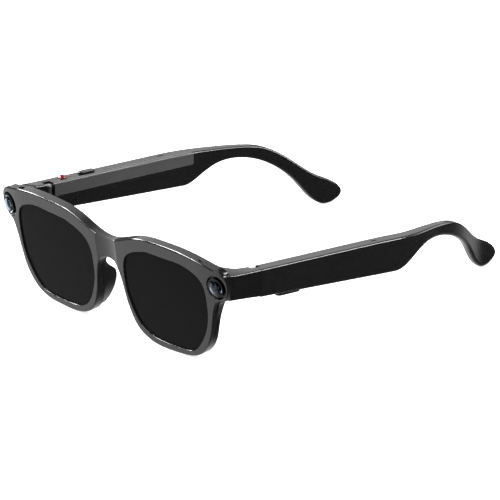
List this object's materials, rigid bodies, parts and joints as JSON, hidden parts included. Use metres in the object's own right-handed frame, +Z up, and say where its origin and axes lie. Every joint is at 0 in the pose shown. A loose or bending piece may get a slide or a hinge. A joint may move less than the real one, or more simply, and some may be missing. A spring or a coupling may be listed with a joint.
{
  "type": "smart glasses",
  "caption": "Dark smart glasses with folding temples that hold the electronics, a camera window and a light window in the front corners, and push buttons on the temples.",
  "frame": {"origin": "on the surface that the open glasses stand on, under the middle of their bounding box, in the plane of symmetry of the front", "axes": "+X to the wearer's left, +Y from the front back along the temples, +Z up"},
  "size_m": [0.1448, 0.1516, 0.0451],
  "materials": {
    "front_black": "gloss",
    "frame_black": "gloss",
    "temple_black": "satin gloss",
    "cover_black": "satin",
    "dark_lens": "polished",
    "pad_black": "gloss",
    "window_glass": "coated",
    "ring_metal": "anodised black",
    "barrel_black": "matte",
    "camera_glass": "coated",
    "cable_amber": "polyimide",
    "board_green": "solder mask",
    "led_white": "diffused",
    "hinge_steel": "brushed",
    "screw_steel": "turned",
    "cell_foil": "foil",
    "can_steel": "pressed",
    "mesh_steel": "blackened",
    "speaker_black": "matte",
    "microphone_metal": "plated",
    "switch_body": "matte",
    "button_red": "gloss",
    "button_black": "satin",
    "light_red": "lit",
    "contact_gold": "gold plate",
    "magnet_nickel": "nickel plate"
  },
  "bodies": {
    "front": {"brow_cable": "cable_amber", "camera_board": "board_green", "camera_lens": "camera_glass", "camera_module": "barrel_black", "camera_ring": "ring_metal", "camera_window": "window_glass", "front_fascia": "front_black", "front_frame": "frame_black", "front_leaf_screws_left": "screw_steel", "front_leaf_screws_right": "screw_steel", "hinge_front_leaf_left": "hinge_steel", "hinge_front_leaf_right": "hinge_steel", "hinge_pin_left": "hinge_steel", "hinge_pin_right": "hinge_steel", "lens_left": "dark_lens", "lens_right": "dark_lens", "light_board": "board_green", "light_leds": "led_white", "light_ring": "ring_metal", "light_window": "window_glass", "nose_pad_left": "pad_black", "nose_pad_right": "pad_black"},
    "left_temple": {"temple_housing_left": "temple_black", "temple_cover_left": "cover_black", "hinge_temple_leaf_left": "hinge_steel", "temple_leaf_screws_left": "screw_steel", "battery_left": "cell_foil", "circuit_board_left": "board_green", "shield_can_left": "can_steel", "speaker_left": "speaker_black", "speaker_mesh_left": "mesh_steel", "microphone_left": "microphone_metal", "charging_contacts": "contact_gold", "charging_magnets": "magnet_nickel", "power_switch": "switch_body"},
    "right_temple": {"temple_housing_right": "temple_black", "temple_cover_right": "cover_black", "hinge_temple_leaf_right": "hinge_steel", "temple_leaf_screws_right": "screw_steel", "battery_right": "cell_foil", "circuit_board_right": "board_green", "shield_can_right": "can_steel", "speaker_right": "speaker_black", "speaker_mesh_right": "mesh_steel", "microphone_right": "microphone_metal", "capture_switch": "switch_body", "mode_switch": "switch_body", "status_light": "light_red", "call_microphone": "microphone_metal"},
    "capture_button": {"capture_button": "button_red"},
    "mode_button": {"mode_button": "button_black"},
    "power_button": {"power_button": "button_black"}
  },
  "joints": [
    {"name": "left_temple_fold", "type": "hinge", "parent": "front", "child": "left_temple", "pos_m": [0.0662, -0.05396, 0.03336], "axis": [0, 0.0776, 0.997], "range_deg": [0, 87]},
    {"name": "right_temple_fold", "type": "hinge", "parent": "front", "child": "right_temple", "pos_m": [-0.0662, -0.05396, 0.03336], "axis": [0, -0.0776, -0.997], "range_deg": [0, 77]},
    {"name": "capture_press", "type": "slide", "parent": "right_temple", "child": "capture_button", "axis": [0, -0.0776, -0.997], "range_m": [0, 0.00035], "stiffness_N_per_m": 1500},
    {"name": "mode_press", "type": "slide", "parent": "right_temple", "child": "mode_button", "axis": [0, -0.0776, -0.997], "range_m": [0, 0.00035], "stiffness_N_per_m": 1500},
    {"name": "power_press", "type": "slide", "parent": "left_temple", "child": "power_button", "axis": [0, 0.0776, 0.997], "range_m": [0, 0.00035], "stiffness_N_per_m": 1500}
  ]
}
